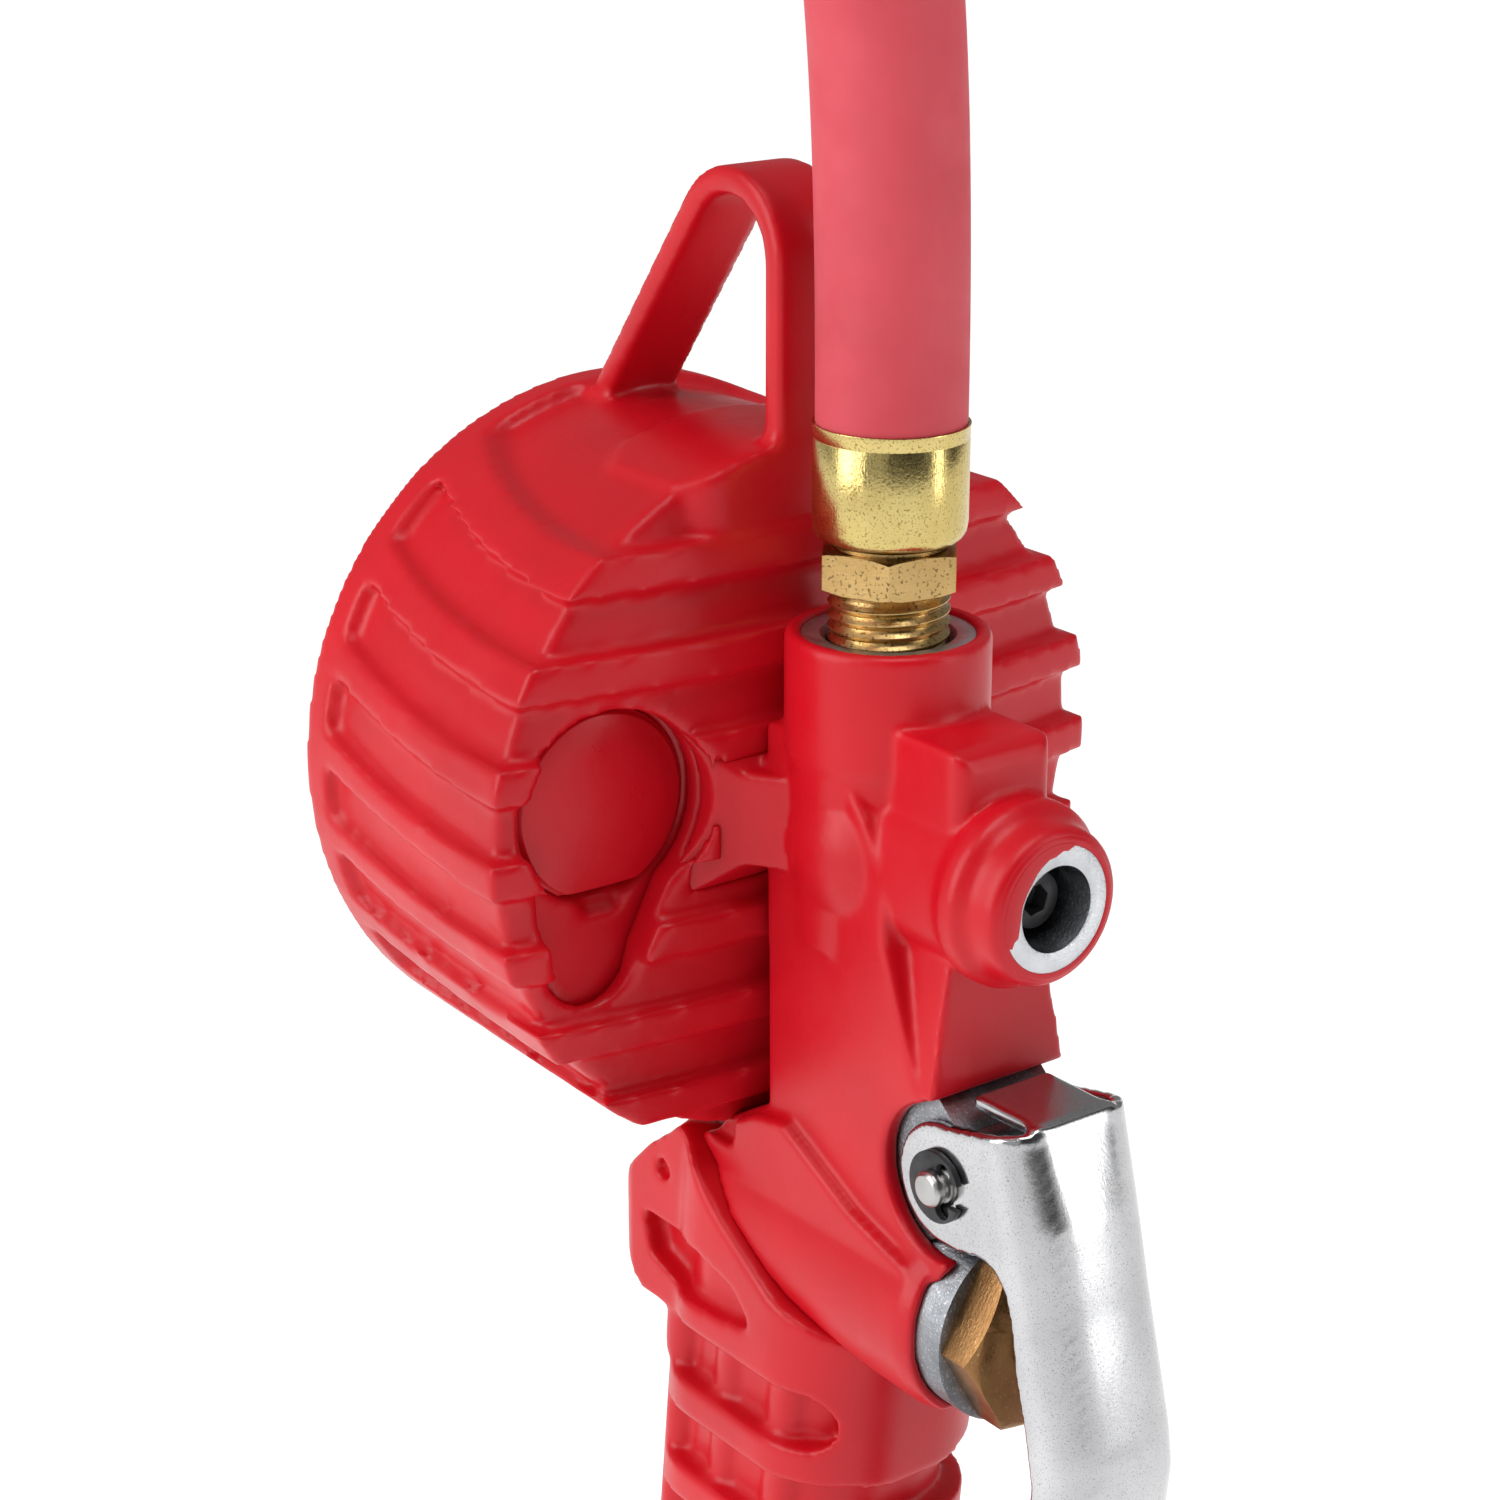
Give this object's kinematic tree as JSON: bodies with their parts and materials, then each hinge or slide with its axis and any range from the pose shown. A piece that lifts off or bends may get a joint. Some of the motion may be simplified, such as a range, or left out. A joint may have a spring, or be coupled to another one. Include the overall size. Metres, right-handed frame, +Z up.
{
  "type": "tyre inflator gun",
  "caption": "Pistol-grip tyre inflator gun with a squeeze lever, a booted round digital gauge with a hanging loop, and a short air hose ending in a clip-on chuck.",
  "frame": {"origin": "inside top of the hanging loop, where it rests on a hook", "axes": "+Z up along the hose port, +Y towards the squeeze lever, -Y towards the gauge face, X across the grip"},
  "size_m": [0.2594, 0.0971, 0.3519],
  "materials": {
    "cast_aluminium": "brushed",
    "red_jacket": "satin",
    "red_shell": "satin",
    "bright_steel": "satin",
    "brass_fitting": "satin",
    "black_plastic": "matte",
    "clear_lens": "gloss",
    "lcd_glass": "gloss",
    "circuit_board": "satin",
    "button_rubber": "matte",
    "black_oxide_steel": "satin",
    "plated_steel": "polished",
    "valve_bronze": "satin",
    "seal_rubber": "matte",
    "red_hose": "matte",
    "ferrule_brass": "polished"
  },
  "bodies": {
    "gun": {"body_casting": "cast_aluminium", "body_jacket": "red_jacket", "grip_sleeve": "red_jacket", "gauge_boot": "red_jacket", "gauge_housing": "red_shell", "coin_cell": "bright_steel", "battery_contact": "bright_steel", "pressure_sensor": "brass_fitting", "gauge_bezel": "black_plastic", "gauge_lens": "clear_lens", "gauge_dial_plate": "black_plastic", "lcd_panel": "lcd_glass", "circuit_board": "circuit_board", "gauge_bolt": "black_oxide_steel", "bolt_washer": "black_oxide_steel", "lever_pin": "bright_steel", "e_clips": "black_oxide_steel", "valve_body": "valve_bronze", "valve_o_ring": "seal_rubber", "stem_gland_ring": "seal_rubber", "valve_spring": "bright_steel", "inlet_fitting": "brass_fitting", "inlet_gasket": "seal_rubber", "inlet_strainer": "brass_fitting", "hose": "red_hose", "hose_insert": "brass_fitting", "hose_ferrule": "ferrule_brass", "chuck_ferrule": "ferrule_brass", "chuck_body": "brass_fitting", "chuck_seal": "seal_rubber", "chuck_depressor": "brass_fitting", "chuck_clip_pin": "bright_steel"},
    "lever": {"lever": "plated_steel"},
    "stem": {"valve_stem": "brass_fitting", "valve_seat_seal": "seal_rubber"},
    "power_button": {"power_button": "button_rubber"},
    "units_button": {"units_button": "button_rubber"},
    "battery_door": {"battery_door": "red_shell"},
    "chuck_clip": {"chuck_clip": "plated_steel"}
  },
  "joints": [
    {"name": "lever_squeeze", "type": "hinge", "parent": "gun", "child": "lever", "pos_m": [0, 0.0431, -0.0982], "axis": [-1, 0, 0], "range_deg": [0, 8.5], "stiffness_Nm_per_rad": 0.5, "springref_deg": -11.46},
    {"name": "valve_stem_slide", "type": "slide", "parent": "gun", "child": "stem", "axis": [0, -1, 0], "range_m": [0, 0.0031], "stiffness_N_per_m": 20, "springref_m": -0.001, "deforming": ["valve_spring"]},
    {"name": "power_button_press", "type": "slide", "parent": "gun", "child": "power_button", "axis": [0, 1, 0], "range_m": [0, 0.0008], "stiffness_N_per_m": 500, "springref_m": -0.0006},
    {"name": "units_button_press", "type": "slide", "parent": "gun", "child": "units_button", "axis": [0, 1, 0], "range_m": [0, 0.0008], "stiffness_N_per_m": 500, "springref_m": -0.0006},
    {"name": "battery_door_lift", "type": "slide", "parent": "gun", "child": "battery_door", "axis": [0, 1, 0], "range_m": [0, 0.009]},
    {"name": "chuck_clip_press", "type": "hinge", "parent": "gun", "child": "chuck_clip", "pos_m": [0.2113, 0.02002, -0.04941], "axis": [0.0003, -0.9999, -0.0143], "range_deg": [0, 18], "stiffness_Nm_per_rad": 0.2, "springref_deg": -17.19}
  ],
  "couplings": [
    {"joint": "valve_stem_slide", "follows": "lever_squeeze", "m_per_rad": 0.02}
  ]
}
